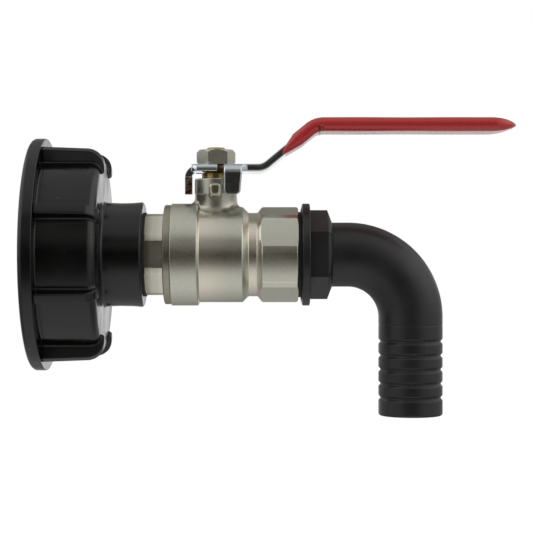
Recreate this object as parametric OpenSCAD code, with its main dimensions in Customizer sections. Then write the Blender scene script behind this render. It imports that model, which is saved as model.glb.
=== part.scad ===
// Lever ball valve with a tank cap adapter and a hose elbow.
// +X is the flow, out of the tank and towards the hose. +Z is up, on the lever's side.
// The origin is the centre of the cap's mouth. All sizes are in millimetres.

/* [Cap] */
// Radius of the cap's flange
flange_r = 48; // [47:0.5:50]
// Thickness of the cap's flange
flange_t = 5.6; // [4.5:0.1:6.5]
// Radius of the cap's skirt
skirt_r = 41; // [40.6:0.1:41.5]
// Position of the cap's front face
face_x = 29.3; // [29:0.1:30]
// Thickness of the cap's front wall
front_wall = 3.3; // [3:0.1:3.6]
// Number of grip ribs
rib_count = 8; // [6:1:12]
// Width of a grip rib
rib_w = 4; // [3:0.5:5]
// Radius over the ribs at the flange
rib_r = 46.5; // [46:0.1:47]
// Position of the ribs' front, ahead of the front face
rib_front_x = 30.7; // [30.5:0.1:31]

/* [Tank thread] */
// Root radius of the cap's internal thread
tank_root_r = 37.8; // [37.6:0.1:38]
// Crest radius of the cap's internal thread
tank_crest_r = 35.3; // [35:0.1:35.8]
// Pitch of the tank thread
tank_pitch = 6; // [6:1:6]
// Turns of the tank thread
tank_turns = 2.75; // [2:0.25:3]

/* [Collar] */
// Position of the collar's free end
collar_x = 45.7; // [45:0.1:46]
// Radius of the collar at its free end
collar_r = 21.8; // [21.5:0.1:22]
// Radius of the collar's waist
waist_r = 21.35; // [21:0.05:21.5]

/* [Pipe threads] */
// Major radius of the one-inch pipe thread
pipe_r = 16.6; // [16.5:0.05:16.65]
// Radial clearance of a screwed joint
thread_gap = 0.05; // [0.02:0.01:0.08]

/* [Waterway] */
// Radius of the waterway in the brass pieces
water_r = 11.5; // [11:0.1:12]
// Radius of the ball's bore
ball_bore_r = 11; // [10.5:0.1:11.2]
// Radius of the elbow's bore
elbow_bore_r = 10.25; // [9.5:0.05:10.5]

/* [Connector] */
// Position of the connector's octagon
octagon_x = 46.6; // [46.5:0.1:46.8]
// Width across the connector's octagon
connector_af = 33.4; // [33.3:0.1:34]
// Position of the connector's round flange
connector_flange_x = 54.2; // [54:0.1:54.5]
// Radius of the connector's round flange
connector_flange_r = 20.6; // [20.2:0.1:20.9]

/* [Valve body] */
// Position of the body's inlet face
body_x = 57; // [57:0.1:57.2]
// Radius of the body's inlet end
inlet_r = 21.15; // [21:0.05:21.4]
// Radius over the ball chamber
chamber_r = 19.75; // [19.6:0.05:20]
// Radius of the neck
neck_r = 17.3; // [17.1:0.1:17.6]
// Width across the outlet octagon
outlet_af = 37.4; // [37.2:0.1:38.2]
// Turn of the outlet octagon about the flow
outlet_turn = 6.2; // [0:0.1:22.5]
// Radius to which the octagon's corners are turned
outlet_turned_r = 19.75; // [19.6:0.05:20.2]
// Position of the outlet face
outlet_x = 109.4; // [109:0.1:110]

/* [Ball and stem] */
// Position of the stem's axis
stem_x = 75.4; // [75.2:0.1:75.6]
// Radius of the ball
ball_r = 17; // [16.8:0.1:17.1]
// Radius of the stem
stem_r = 4; // [3.9:0.05:4.1]
// Radius of the stem's collar
stem_collar_r = 6; // [5.8:0.1:6.1]
// Radial clearance of the stem
stem_gap = 0.05; // [0.03:0.01:0.08]
// Top of the stem
stem_top = 44.3; // [44:0.1:44.6]

/* [Boss] */
// Radius of the stem boss
boss_r = 8.85; // [8.7:0.05:9]
// Top of the stem boss
boss_top = 31.4; // [31:0.1:31.6]
// Height of the stop lug's middle
lug_z = 26.5; // [26:0.1:27]
// How far the stop lug stands out of the boss
lug_out = 3; // [2.5:0.1:3.2]

/* [Lever] */
// Underside of the lever's flat end
lever_z = 34.1; // [34:0.1:34.4]
// Thickness of the lever's steel
steel_t = 3; // [2.8:0.1:3.2]
// Half the width of the steel
steel_half = 9.85; // [9.5:0.05:10.2]
// Height of the handle's middle
handle_z = 53.4; // [53:0.1:54]
// Slope of the lever between its bends
slope_angle = 39.5; // [38:0.5:41]
// Where the lower straight and the slope would cross
bend_x = 95; // [94:0.5:96]
// Far end of the handle
tip_x = 199.8; // [195:0.1:200]
// Thickness of the dipped sleeve
sleeve_t = 1.4; // [1.2:0.1:1.6]
// Position where the dipped sleeve begins
sleeve_x = 103; // [102:0.5:104]

/* [Lever nut] */
// Width across the nut
nut_af = 14; // [13:0.1:14.5]
// Height of the nut
nut_h = 6.3; // [6:0.1:6.5]

/* [Elbow] */
// Position of the elbow's flange
elbow_x = 110.5; // [110.4:0.1:110.8]
// Radius of the elbow's flange
elbow_flange_r = 21.15; // [21:0.05:21.5]
// Thickness of the elbow's flange
elbow_flange_t = 3.7; // [3.5:0.1:4]
// Width across the elbow's hexagon
elbow_af = 32; // [31.5:0.5:32.5]
// Radius of the elbow's tube and of the barbs' crests
tube_r = 13.3; // [13.2:0.05:13.4]
// Radius of the elbow's bend at its middle line
bend_r = 26; // [25:0.5:27]
// Start of the bend
bend_start_x = 130.1; // [130:0.1:130.5]
// Lower end of the hose tail
tail_z = -66.7; // [-67:0.1:-66]
// Radius in the grooves of the hose tail
groove_r = 12.5; // [12.3:0.1:12.7]
// Distance between grooves
groove_pitch = 5.83; // [5.6:0.01:5.9]

/* [Hidden] */
$fn = 96;
// overlap that fuses solids of one piece
fuse = 0.5;

// colours of the finishes
black_plastic = [0.09, 0.09, 0.1];
black_rubber = [0.05, 0.05, 0.05];
nickel = [0.68, 0.66, 0.6];
ptfe = [0.93, 0.93, 0.91];
raw_brass = [0.71, 0.56, 0.27];
bright_chrome = [0.75, 0.77, 0.79];
lever_red = [0.69, 0.13, 0.12];
black_charcoal = [0.15, 0.15, 0.16];

// cap
flange_round = 2;
flange_chamfer = 0.5;
skirt_round = 4;
rib_arc_r = 7.1;
rib_arc_x = rib_front_x - rib_arc_r;
rib_arc_rho = 38.7;
rib_tip_r = 1.4;
rib_tip_rho = 37.3;
rib_root_rho = 39.4;
mouth_r = 40;
mouth_depth = 2.2;
cavity_x = face_x - front_wall;
gasket_hole_r = 23;
gasket_gap = 0.5;
gasket_t = 3;
throat_r = 14;
collar_seat_x = 29;
collar_waist_x = 36;
collar_round = 1.1;
collar_fillet = 1.2;
collar_taper = 4.5;
collar_gasket_w = 0.8;
collar_bore_chamfer = 0.8;

// tank thread: a trapezoid carried along a helix, its crest turned to the crest radius
thread_start_x = 3.4;
thread_segments = 24;
thread_root_half = 1.9;
thread_crest_half = 1;
thread_buried = 1.2;
thread_over = 0.7;
thread_fade = 30;
thread_fade_depth = 2.2;

// connector
connector_end_x = 30.4;
sleeve_bore_x = 61.6;
sleeve_end_x = 64.5;
sleeve_r = 18.6;
o_ring_x = 62.9;
o_ring_t = 0.75;
o_ring_groove = 1.8;
connector_round = 0.6;

// seats
seat_r = 14.6;
seat_t = 4;
seat_gap = 0.15;
outlet_seat_x = 2 * stem_x - sleeve_bore_x;

// body
inlet_step_x = 68.1;
chamber_step_x = 69.1;
neck_start_x = 86.2;
neck_flat_x = 88.9;
neck_end_x = 92.3;
outlet_octagon_x = 94.5;
outlet_chamfer = 1;
chamber_bore_r = 17.4;
outlet_thread_x = 94.8;
inlet_chamfer = 0.5;
inlet_round = 0.7;
chamber_fillet = 0.4;
neck_round = 0.8;
octagon_round = 0.6;
outlet_chamfer_r = 1.6;
boss_fillet = 1.6;

// stem, from the tang upwards
slot_bottom = 13;
slot_w = 5;
tang_w = 4.7;
tang_l = 10;
tang_bottom = 13.3;
stem_collar_z = 16.6;
collar_h = 2.2;
washer_t = 1;
counterbore_top = stem_collar_z + collar_h + washer_t;
packing_bottom = 23.6;
packing_ring_h = 1.9;
gland_r = 5.9;
gland_bottom = packing_bottom + 2 * packing_ring_h;
gland_top = 33.9;
stem_groove_z = 21.7;
stem_groove_h = 1.9;
stem_groove_r = 2.6;
stem_o_ring_t = 0.7;
stem_chamfer = 0.6;
collar_gap = 0.1;
washer_gap = 0.05;
gland_chamfer = 0.4;
flats = 3.1;
thread_z = lever_z + steel_t;
nut_top = thread_z + nut_h;

// lever nut
nut_turn = 7.7;
nut_chamfer = 1.1;

// stop lug
lug_root_w = 5.4;
lug_root_h = 6.6;
lug_root_t = 1.2;
lug_end_w = 4.2;
lug_end_h = 4.8;

// lever: middle line of the steel, from the flat end to the tip
flat_z = lever_z + steel_t / 2;
upper_x = bend_x + (handle_z - flat_z) / tan(slope_angle);
lower_bend_r = 6;
upper_bend_r = 9;
lower_tangent = lower_bend_r * tan(slope_angle / 2);
upper_tangent = upper_bend_r * tan(slope_angle / 2);
grip_half = steel_half + sleeve_t;
steel_end_x = tip_x - sleeve_t;
plate_left = -9.9;
plate_half = 10.6;
plate_corner = 3;
tab_near_y = -12;
tab_near_left = 3.4;
tab_near_right = 11;
tab_near_bottom = 24.5;
tab_near_round = 1.6;
tab_far_left = -13.1;
tab_far_near = 3.3;
tab_far_far = 10;
tab_far_bottom = 25.3;
tab_bend_out = 3.6;
relief_w = 2.6;
relief_depth = 3.4;
lever_hole_r = 4.05;
lever_hole_flat = 3.15;

// elbow
stub_x = 97;
stub_chamfer = 1;
elbow_flange_end = elbow_x + elbow_flange_t;
hex_end_x = 121.4;
hex_cone_x = 123.4;
hex_face_r = 13.6;
elbow_gasket_w = 1.1;
elbow_chamfer = 0.7;
elbow_chamfer_r = 2.4;
elbow_edge = 0.5;
bend_end_z = -bend_r;
tail_x = bend_start_x + bend_r;
groove_top_z = -35.9;
groove_count = 5;
groove_half = 1.25;
groove_flat = 0.35;
tail_round = 1.1;

// points of an arc about [cx, cy], from angle a to angle b
function arc(cx, cy, r, a, b, n = 6) =
    [for (i = [0:n]) let (t = a + (b - a) * i / n) [cx + r * cos(t), cy + r * sin(t)]];

// turns a profile of [radius, x] points about the X axis
module turned_x(points) {
    rotate([0, 90, 0]) rotate_extrude() polygon(points);
}

// turns a profile of [radius, z] points about the stem's axis
module turned_stem(points) {
    translate([stem_x, 0, 0]) rotate_extrude() polygon(points);
}

// straight cylinder along X between two positions
module round_x(r, from, to) {
    translate([from, 0, 0]) rotate([0, 90, 0]) cylinder(r = r, h = to - from);
}

// flat ring along X
module ring_x(outer, inner, from, to) {
    difference() {
        round_x(outer, from, to);
        round_x(inner, from - 1, to + 1);
    }
}

// regular prism along X with flats towards +Z and -Y when turn is zero
module prism_x(sides, af, from, to, turn = 0) {
    translate([from, 0, 0]) rotate([0, 90, 0]) rotate([0, 0, 180 / sides + turn])
        cylinder(r = af / 2 / cos(180 / sides), h = to - from, $fn = sides);
}

// outline of one rib in the plane of [x, radius]: side bar, shoulder arc and front bar
module rib_outline() {
    polygon([[flange_t - fuse, rib_root_rho], [flange_t - fuse, rib_r],
             [rib_arc_x, rib_arc_rho + rib_arc_r], [rib_arc_x, rib_root_rho]]);
    intersection() {
        translate([rib_arc_x, rib_arc_rho]) circle(rib_arc_r);
        translate([rib_arc_x - 0.01, rib_arc_rho]) square(rib_arc_r + 1);
    }
    translate([face_x - 2, rib_tip_rho])
        square([rib_front_x - face_x + 2, rib_arc_rho - rib_tip_rho + 0.01]);
    translate([rib_front_x - rib_tip_r, rib_tip_rho]) circle(rib_tip_r);
}

module cap_rib(angle) {
    rotate([angle, 0, 0]) translate([0, rib_w / 2, 0]) rotate([90, 0, 0])
        linear_extrude(rib_w) rib_outline();
}

// one cross-section of the tank thread at step i, as points around the trapezoid
function thread_section(i) =
    let (turn_angle = 360 * i / thread_segments,
         end_angle = 360 * tank_turns,
         rise = min(1, turn_angle / thread_fade, (end_angle - turn_angle) / thread_fade),
         x = thread_start_x + tank_pitch * turn_angle / 360,
         root = tank_root_r + thread_buried,
         crest = tank_crest_r - thread_over + (1 - rise) * (thread_fade_depth + thread_over))
    [for (p = [[x - thread_root_half, root], [x + thread_root_half, root],
               [x + thread_crest_half, crest], [x - thread_crest_half, crest]])
        [p[0], p[1] * cos(turn_angle), p[1] * sin(turn_angle)]];

module tank_thread() {
    steps = thread_segments * tank_turns;
    sections = [for (i = [0:steps]) thread_section(i)];
    points = [for (s = sections) for (p = s) p];
    sides = [for (i = [0:steps - 1]) for (k = [0:3])
        let (a = 4 * i + k, b = 4 * i + (k + 1) % 4)
        for (f = [[a, b, b + 4], [a, b + 4, a + 4]]) f];
    last = 4 * steps;
    polyhedron(points, concat(sides, [[3, 2, 1, 0]], [[last, last + 1, last + 2, last + 3]]));
}

// profile of the cap's outside as [radius, x] points, from the axis at the mouth to the collar's end
function cap_profile() = concat(
    [[0, 0]],
    arc(flange_r - flange_round, flange_round, flange_round, -90, 0),
    [[flange_r, flange_t - flange_chamfer], [flange_r - flange_chamfer, flange_t], [skirt_r, flange_t]],
    arc(skirt_r - skirt_round, face_x - skirt_round, skirt_round, 0, 90),
    arc(collar_r + collar_fillet, face_x + collar_fillet, collar_fillet, 270, 180, 4),
    [[waist_r, collar_waist_x], [collar_r, collar_x - collar_taper]],
    arc(collar_r - collar_round, collar_x - collar_round, collar_round, 0, 90),
    [[0, collar_x]]);

module ibc_cap() {
    color(black_plastic) difference() {
        union() {
            difference() {
                union() {
                    turned_x(cap_profile());
                    for (i = [0:rib_count - 1])
                        cap_rib((i + 0.5) * 360 / rib_count);
                }
                round_x(tank_root_r, -1, cavity_x);
                turned_x([[0, -1], [mouth_r + 1, -1], [mouth_r, 0],
                          [tank_root_r, mouth_depth], [0, mouth_depth]]);
            }
            tank_thread();
        }
        round_x(tank_crest_r, -1, cavity_x);
        round_x(throat_r, cavity_x - 1, collar_x + 1);
        round_x(pipe_r + thread_gap, collar_seat_x, collar_x + 1);
        turned_x([[0, collar_x - collar_bore_chamfer],
                  [pipe_r + thread_gap, collar_x - collar_bore_chamfer],
                  [pipe_r + thread_gap + collar_bore_chamfer, collar_x], [pipe_r + 1, collar_x + 1],
                  [0, collar_x + 1]]);
    }
}

module cap_gasket() {
    color(black_rubber) ring_x(tank_crest_r - gasket_gap, gasket_hole_r, cavity_x - gasket_t, cavity_x);
}

module collar_gasket() {
    color(black_rubber) ring_x(pipe_r + collar_gasket_w, pipe_r, collar_x, octagon_x);
}

module end_connector() {
    color(nickel) difference() {
        union() {
            turned_x([[0, connector_end_x], [pipe_r - stub_chamfer, connector_end_x],
                      [pipe_r, connector_end_x + stub_chamfer], [pipe_r, octagon_x + fuse],
                      [0, octagon_x + fuse]]);
            prism_x(8, connector_af, octagon_x, connector_flange_x + fuse);
            turned_x(concat([[0, connector_flange_x]],
                arc(connector_flange_r - connector_round, connector_flange_x + connector_round,
                    connector_round, -90, 0, 4),
                [[connector_flange_r, body_x], [sleeve_r, body_x], [sleeve_r, sleeve_end_x],
                 [0, sleeve_end_x]]));
        }
        round_x(water_r, connector_end_x - 1, sleeve_end_x + 1);
        round_x(seat_r + thread_gap, sleeve_bore_x, sleeve_end_x + 1);
        ring_x(sleeve_r + 1, sleeve_r - 2 * o_ring_t,
               o_ring_x - o_ring_groove / 2, o_ring_x + o_ring_groove / 2);
    }
}

module joint_o_ring() {
    color(black_rubber) translate([o_ring_x, 0, 0]) rotate([0, 90, 0]) rotate_extrude()
        translate([sleeve_r - o_ring_t, 0]) circle(o_ring_t, $fn = 24);
}

// profile of the body's outside as [radius, x] points
function body_profile() = concat(
    [[0, body_x], [inlet_r - inlet_chamfer, body_x], [inlet_r, body_x + inlet_chamfer]],
    arc(inlet_r - inlet_round, inlet_step_x, inlet_round, 0, 90, 4),
    [[chamber_r, chamber_step_x + chamber_fillet]],
    arc(chamber_r - neck_round, neck_start_x - neck_round / 2, neck_round, 0, 45, 3),
    [[neck_r, neck_flat_x], [neck_r, neck_end_x], [outlet_turned_r - octagon_round, outlet_octagon_x],
     [outlet_turned_r, outlet_octagon_x + octagon_round], [outlet_turned_r, outlet_x - outlet_chamfer],
     [outlet_turned_r - outlet_chamfer_r, outlet_x], [0, outlet_x]]);

module stop_lug() {
    translate([stem_x, -boss_r + 1, lug_z]) rotate([90, 0, 0]) hull() {
        translate([-lug_root_w / 2, -lug_root_h / 2, 0]) cube([lug_root_w, lug_root_h, lug_root_t]);
        translate([-lug_end_w / 2, -lug_end_h / 2, 1]) cube([lug_end_w, lug_end_h, lug_out]);
    }
}

module valve_body() {
    color(nickel) difference() {
        union() {
            difference() {
                turned_x(body_profile());
                difference() {
                    round_x(inlet_r + 1, outlet_octagon_x + octagon_round, outlet_x + 1);
                    prism_x(8, outlet_af, outlet_octagon_x, outlet_x + 2, 22.5 + outlet_turn);
                }
            }
            translate([stem_x, 0, 0]) cylinder(r = boss_r, h = boss_top);
            turned_stem(concat([[0, chamber_bore_r], [boss_r + boss_fillet, chamber_bore_r]],
                arc(boss_r + boss_fillet, chamber_r + boss_fillet, boss_fillet, 270, 180, 4),
                [[0, chamber_r + boss_fillet]]));
            stop_lug();
        }
        round_x(sleeve_r + thread_gap, body_x - 1, sleeve_end_x);
        round_x(chamber_bore_r, sleeve_end_x - 1, outlet_seat_x - seat_t);
        round_x(seat_r + thread_gap, outlet_seat_x - seat_t - 1, outlet_seat_x);
        round_x(water_r, outlet_seat_x - 1, outlet_thread_x + 1);
        round_x(pipe_r + thread_gap, outlet_thread_x, outlet_x + 1);
        translate([stem_x, 0, 0]) {
            cylinder(r = stem_collar_r + collar_gap, h = counterbore_top);
            cylinder(r = stem_r + stem_gap, h = boss_top + 1);
            translate([0, 0, packing_bottom]) cylinder(r = gland_r + thread_gap, h = boss_top);
        }
    }
}

// PTFE ring with a hollow face that fits the ball; side is -1 before the ball and 1 behind it
module seat(side) {
    near = stem_x + side * (outlet_seat_x - seat_t - stem_x);
    far = stem_x + side * (outlet_seat_x - stem_x);
    color(ptfe) difference() {
        ring_x(seat_r, water_r, min(near, far), max(near, far));
        translate([stem_x, 0, 0]) sphere(r = ball_r + seat_gap);
    }
}

module inlet_seat() { seat(-1); }

module outlet_seat() { seat(1); }

module ball() {
    color(bright_chrome) difference() {
        translate([stem_x, 0, 0]) sphere(r = ball_r);
        round_x(ball_bore_r, stem_x - ball_r - 1, stem_x + ball_r + 1);
        translate([stem_x - slot_w / 2, -ball_r, slot_bottom]) cube([slot_w, 2 * ball_r, ball_r]);
    }
}

module stem() {
    collar_top = stem_collar_z + collar_h;
    groove_low = stem_groove_z - stem_groove_h / 2;
    groove_high = stem_groove_z + stem_groove_h / 2;
    color(raw_brass) difference() {
        union() {
            intersection() {
                translate([stem_x - tang_w / 2, -tang_l / 2, tang_bottom])
                    cube([tang_w, tang_l, stem_collar_z - tang_bottom + fuse]);
                translate([stem_x, 0, 0]) cylinder(r = tang_l / 2 + collar_gap, h = stem_collar_z + fuse);
            }
            turned_stem([[0, stem_collar_z], [stem_collar_r, stem_collar_z], [stem_collar_r, collar_top],
                         [stem_r, collar_top],
                         [stem_r, groove_low], [stem_groove_r, groove_low],
                         [stem_groove_r, groove_high], [stem_r, groove_high],
                         [stem_r, stem_top - stem_chamfer], [stem_r - stem_chamfer, stem_top],
                         [0, stem_top]]);
        }
        for (side = [-1, 1])
            translate([stem_x - stem_r - 1, side * (flats + stem_r / 2) - stem_r / 2, lever_z - collar_gap])
                cube([2 * stem_r + 2, stem_r, steel_t + collar_gap]);
    }
}

module thrust_washer() {
    color(ptfe) translate([stem_x, 0, counterbore_top - washer_t + washer_gap]) difference() {
        cylinder(r = stem_collar_r, h = washer_t - washer_gap);
        translate([0, 0, -1]) cylinder(r = stem_r + stem_gap, h = washer_t + 2);
    }
}

module stem_o_ring() {
    color(black_rubber) translate([stem_x, 0, stem_groove_z]) rotate_extrude()
        translate([stem_groove_r + stem_o_ring_t, 0]) circle(stem_o_ring_t, $fn = 24);
}

module packing_ring(bottom) {
    color(ptfe) translate([stem_x, 0, bottom]) difference() {
        cylinder(r = gland_r, h = packing_ring_h);
        translate([0, 0, -1]) cylinder(r = stem_r + stem_gap, h = packing_ring_h + 2);
    }
}

module packing_ring_lower() { packing_ring(packing_bottom); }

module packing_ring_upper() { packing_ring(packing_bottom + packing_ring_h); }

module gland_nut() {
    color(raw_brass) difference() {
        turned_stem([[0, gland_bottom], [gland_r, gland_bottom], [gland_r, gland_top - gland_chamfer],
                     [gland_r - gland_chamfer, gland_top], [0, gland_top]]);
        translate([stem_x, 0, gland_bottom - 1]) cylinder(r = stem_r + 2 * stem_gap, h = gland_top);
    }
}

// side view of a strip that follows the lever's middle line from a start to an end position
module strip_side(t, start, end) {
    low = flat_z - t / 2;
    polygon(concat(
        [[start, low]],
        arc(bend_x - lower_tangent, flat_z + lower_bend_r, lower_bend_r + t / 2, -90, -90 + slope_angle),
        arc(upper_x + upper_tangent, handle_z - upper_bend_r, upper_bend_r - t / 2, 90 + slope_angle, 90),
        [[end, handle_z - t / 2], [end, handle_z + t / 2]],
        arc(upper_x + upper_tangent, handle_z - upper_bend_r, upper_bend_r + t / 2, 90, 90 + slope_angle),
        arc(bend_x - lower_tangent, flat_z + lower_bend_r, lower_bend_r - t / 2, -90 + slope_angle, -90),
        [[start, flat_z + t / 2]]));
}

module strip(t, half, start, end) {
    translate([0, half, 0]) rotate([90, 0, 0]) linear_extrude(2 * half) strip_side(t, start, end);
}

// plan of the lever: wide flat end with a relief notch, narrow arm and round tip
module lever_plan() {
    difference() {
        union() {
            translate([stem_x + plate_left, -plate_half + plate_corner])
                square([tab_near_right - plate_left, 2 * (plate_half - plate_corner)]);
            translate([stem_x + plate_left + plate_corner, -plate_half])
                square([tab_near_right - plate_left - plate_corner, 2 * plate_half]);
            for (side = [-1, 1])
                translate([stem_x + plate_left + plate_corner, side * (plate_half - plate_corner)])
                    circle(plate_corner);
            translate([stem_x, -steel_half]) square([steel_end_x - steel_half - stem_x, 2 * steel_half]);
            translate([steel_end_x - steel_half, 0]) circle(steel_half);
        }
        translate([stem_x + tab_near_left - relief_w, -plate_half - 1])
            square([relief_w, relief_depth + 1]);
    }
}

// side view of a tab bent down from the flat end, as [outward, up] points; outward is 0 at its outer face
module tab_side(bottom) {
    top = lever_z + steel_t;
    inner = tab_bend_out - steel_t;
    polygon(concat(
        [[-steel_t, bottom], [0, bottom]],
        arc(-tab_bend_out, top - tab_bend_out, tab_bend_out, 0, 90),
        [[-tab_bend_out - 1, top], [-tab_bend_out - 1, lever_z]],
        arc(-tab_bend_out, top - tab_bend_out, inner, 90, 0, 3)));
}

module near_tab() {
    intersection() {
        translate([stem_x + tab_near_left, tab_near_y, 0]) rotate([90, 0, 90]) mirror([1, 0, 0])
            linear_extrude(tab_near_right - tab_near_left) tab_side(tab_near_bottom);
        translate([stem_x, -plate_half + 3, 0]) rotate([90, 0, 0]) linear_extrude(2 * plate_half) {
            translate([tab_near_left, tab_near_bottom + tab_near_round])
                square([tab_near_right - tab_near_left, lever_z]);
            translate([tab_near_left + tab_near_round, tab_near_bottom])
                square([tab_near_right - tab_near_left - 2 * tab_near_round, lever_z]);
            for (u = [tab_near_left + tab_near_round, tab_near_right - tab_near_round])
                translate([u, tab_near_bottom + tab_near_round]) circle(tab_near_round);
        }
    }
}

module far_tab() {
    translate([stem_x + tab_far_left, tab_far_far, 0]) mirror([1, 0, 0]) rotate([90, 0, 0])
        linear_extrude(tab_far_far - tab_far_near) tab_side(tab_far_bottom);
}

module lever() {
    color(bright_chrome) difference() {
        union() {
            intersection() {
                strip(steel_t, plate_half + 1, stem_x - 20, tip_x);
                linear_extrude(2 * handle_z) lever_plan();
            }
            near_tab();
            far_tab();
        }
        intersection() {
            translate([stem_x, 0, 0]) cylinder(r = lever_hole_r, h = handle_z);
            translate([stem_x - steel_half, -lever_hole_flat, 0])
                cube([2 * steel_half, 2 * lever_hole_flat, handle_z]);
        }
    }
}

// dipped sleeve: a thicker and wider strip round the steel, from sleeve_x to the tip
module lever_grip() {
    color(lever_red) difference() {
        intersection() {
            strip(steel_t + 2 * sleeve_t, grip_half, stem_x, tip_x);
            linear_extrude(2 * handle_z) {
                translate([sleeve_x, -grip_half]) square([tip_x - grip_half - sleeve_x, 2 * grip_half]);
                translate([tip_x - grip_half, 0]) circle(grip_half);
            }
        }
        intersection() {
            strip(steel_t, plate_half + 1, stem_x, tip_x + 1);
            linear_extrude(2 * handle_z) lever_plan();
        }
    }
}

module lever_nut() {
    corner = nut_af / 2 / cos(30);
    color(nickel) difference() {
        intersection() {
            translate([stem_x, 0, thread_z]) rotate([0, 0, nut_turn])
                cylinder(r = corner, h = nut_h, $fn = 6);
            turned_stem([[0, thread_z], [corner - nut_chamfer, thread_z], [corner, thread_z + nut_chamfer],
                         [corner, nut_top - nut_chamfer], [corner - nut_chamfer, nut_top], [0, nut_top]]);
        }
        translate([stem_x, 0, thread_z - 1]) cylinder(r = stem_r, h = nut_h + 2);
    }
}

// profile of the tail from the bend down to its end, as [radius, z] points
function tail_profile() = concat(
    [[0, tail_z], [tube_r - tail_round, tail_z]],
    arc(tube_r - tail_round, tail_z + tail_round, tail_round, -90, 0, 4),
    [for (i = [groove_count - 1:-1:0]) for (p = [[tube_r, -groove_half], [groove_r, -groove_flat],
                                                     [groove_r, groove_flat], [tube_r, groove_half]])
        [p[0], groove_top_z - i * groove_pitch + p[1]]],
    [[tube_r, bend_end_z], [0, bend_end_z]]);

module elbow() {
    color(black_charcoal) difference() {
        union() {
            turned_x([[0, stub_x], [pipe_r - stub_chamfer, stub_x], [pipe_r, stub_x + stub_chamfer],
                      [pipe_r, elbow_x], [elbow_flange_r - elbow_chamfer_r, elbow_x],
                      [elbow_flange_r, elbow_x + elbow_chamfer],
                      [elbow_flange_r, elbow_flange_end - elbow_edge],
                      [elbow_flange_r - elbow_edge, elbow_flange_end],
                      [0, elbow_flange_end]]);
            intersection() {
                prism_x(6, elbow_af, elbow_flange_end - fuse, hex_cone_x);
                turned_x([[0, elbow_x + 1], [elbow_af, elbow_x + 1], [elbow_af / 2 / cos(30), hex_end_x],
                          [hex_face_r, hex_cone_x], [0, hex_cone_x]]);
            }
            round_x(tube_r, elbow_flange_end, bend_start_x);
            translate([bend_start_x, 0, bend_end_z]) rotate([90, 0, 0]) rotate_extrude(angle = 90)
                translate([bend_r, 0]) circle(tube_r);
            translate([tail_x, 0, 0]) rotate_extrude() polygon(tail_profile());
        }
        round_x(elbow_bore_r, stub_x - 1, bend_start_x);
        translate([bend_start_x, 0, bend_end_z]) rotate([90, 0, 0]) rotate_extrude(angle = 90)
            translate([bend_r, 0]) circle(elbow_bore_r);
        translate([tail_x, 0, tail_z - 1]) cylinder(r = elbow_bore_r, h = bend_end_z - tail_z + 1);
    }
}

module elbow_gasket() {
    color(black_rubber) ring_x(pipe_r + elbow_gasket_w, pipe_r, outlet_x, elbow_x);
}

ibc_cap();
cap_gasket();
collar_gasket();
end_connector();
joint_o_ring();
valve_body();
inlet_seat();
outlet_seat();
ball();
stem();
thrust_washer();
stem_o_ring();
packing_ring_lower();
packing_ring_upper();
gland_nut();
lever();
lever_grip();
lever_nut();
elbow();
elbow_gasket();
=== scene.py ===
"""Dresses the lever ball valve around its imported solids.

The valve has a ribbed black cap for a tank's outlet, a nickelled brass connector and body, a chromed
lever with a dipped red grip, and a black elbow with a hose tail. Everything is in the valve's own
frame: +X runs with the flow, +Z is up on the lever's side, and the origin is in the middle of the
cap's mouth. Shapes are worked out in millimetres and written into the meshes in metres.
"""

import bmesh
import bpy
import numpy as np
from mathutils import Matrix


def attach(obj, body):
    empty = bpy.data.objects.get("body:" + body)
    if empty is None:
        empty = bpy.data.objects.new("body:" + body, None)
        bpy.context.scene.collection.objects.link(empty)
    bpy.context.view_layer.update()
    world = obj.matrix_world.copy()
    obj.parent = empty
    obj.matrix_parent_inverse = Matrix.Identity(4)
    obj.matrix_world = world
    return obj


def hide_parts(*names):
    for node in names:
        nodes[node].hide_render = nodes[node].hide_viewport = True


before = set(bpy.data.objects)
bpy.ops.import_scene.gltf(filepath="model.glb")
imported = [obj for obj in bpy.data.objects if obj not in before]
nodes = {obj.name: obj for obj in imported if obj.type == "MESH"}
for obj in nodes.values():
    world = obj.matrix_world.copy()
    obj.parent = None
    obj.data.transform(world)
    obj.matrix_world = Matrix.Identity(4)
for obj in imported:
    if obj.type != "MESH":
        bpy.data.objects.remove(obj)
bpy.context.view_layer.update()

# ---- Viewpoint
# The picture is taken level with the flow, square on to the side of the valve that carries the
# stop lug, from 648 mm away. That is near enough for the cap's near ribs to look a little larger.
camera = bpy.data.objects.new("camera", bpy.data.cameras.new("camera"))
camera.data.lens = 105.4
camera.data.sensor_width = 36
camera.location = (0.09633, -0.648, -0.00494)
camera.rotation_euler = (np.pi / 2, 0, 0)
bpy.context.scene.collection.objects.link(camera)
bpy.context.scene.camera = camera
bpy.context.scene.view_settings.view_transform = "Standard"


# ---- Studio
# A white room with a pale floor, a wide soft lamp overhead and a weaker one on each side. The side
# where the photographer stands is dark, and shows as the dark band along everything shiny.
def shader(tree, kind, sockets=None, out=0, **settings):
    """Adds one shader node. settings are its properties, and sockets its inputs by name or place,
    each a plain value or another node's output. Returns the output named or numbered out."""
    made = tree.nodes.new(kind)
    for key, value in settings.items():
        setattr(made, key, value)
    for key, value in (sockets or {}).items():
        if isinstance(value, bpy.types.NodeSocket):
            tree.links.new(value, made.inputs[key])
        else:
            made.inputs[key].default_value = value
    return made.outputs[out]


def sums(tree, operation, a, b=0.0):
    """One step of arithmetic on numbers: a operation b."""
    return shader(tree, "ShaderNodeMath", {0: a, 1: b}, operation=operation)


def graded(tree, value, low, high, low_out=0.0, high_out=1.0):
    """low_out below low, high_out above high, and a smooth step between them."""
    return shader(tree, "ShaderNodeMapRange",
                  {"Value": value, "From Min": low, "From Max": high,
                   "To Min": low_out, "To Max": high_out},
                  interpolation_type="SMOOTHSTEP")


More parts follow.
